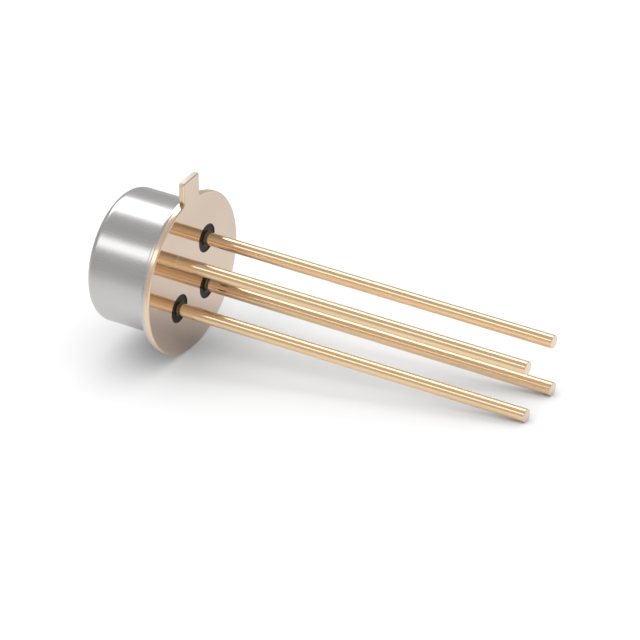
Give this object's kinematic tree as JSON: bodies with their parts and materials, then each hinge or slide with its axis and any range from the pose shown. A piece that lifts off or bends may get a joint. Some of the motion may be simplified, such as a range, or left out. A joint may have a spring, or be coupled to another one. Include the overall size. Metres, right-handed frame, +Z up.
{
  "type": "infrared temperature sensor",
  "caption": "Round metal-can thermopile sensor with an index tab and long leads through glass seals; its window end reads the heat of what it faces.",
  "frame": {"origin": "centre of the lead circle on the header's seating plane", "axes": "+Z up with the can lying as it comes to rest, +X towards the lead ends, which dip by the rest tilt of 7.50 degrees, index tab upwards"},
  "size_m": [0.016, 0.0056, 0.0064],
  "materials": {
    "header_gold": "polished gold plate",
    "lead_gold": "bright gold plate",
    "cap_metal": "fine satin, drawn nickel silver",
    "seal_glass": "black, glossy, fired",
    "filter_silicon": "polished, coated silicon",
    "chip_silicon": "polished silicon",
    "absorber_black": "matt black film",
    "epoxy": "cured adhesive",
    "silver_epoxy": "conductive adhesive",
    "thermistor_ceramic": "sintered ceramic",
    "bond_gold": "drawn gold wire"
  },
  "bodies": {
    "root": {"header": "header_gold", "glass_seal_plus": "seal_glass", "lead_plus": "lead_gold", "glass_seal_minus": "seal_glass", "lead_minus": "lead_gold", "glass_seal_thermistor": "seal_glass", "lead_thermistor": "lead_gold", "lead_ground": "lead_gold", "cap": "cap_metal", "infrared_filter": "filter_silicon", "filter_adhesive": "epoxy", "thermopile_chip": "chip_silicon", "absorber": "absorber_black", "chip_adhesive": "epoxy", "thermistor_chip": "thermistor_ceramic", "thermistor_adhesive": "silver_epoxy", "bond_wire_plus": "bond_gold", "bond_wire_minus": "bond_gold", "bond_wire_thermistor": "bond_gold"}
  },
  "joints": []
}
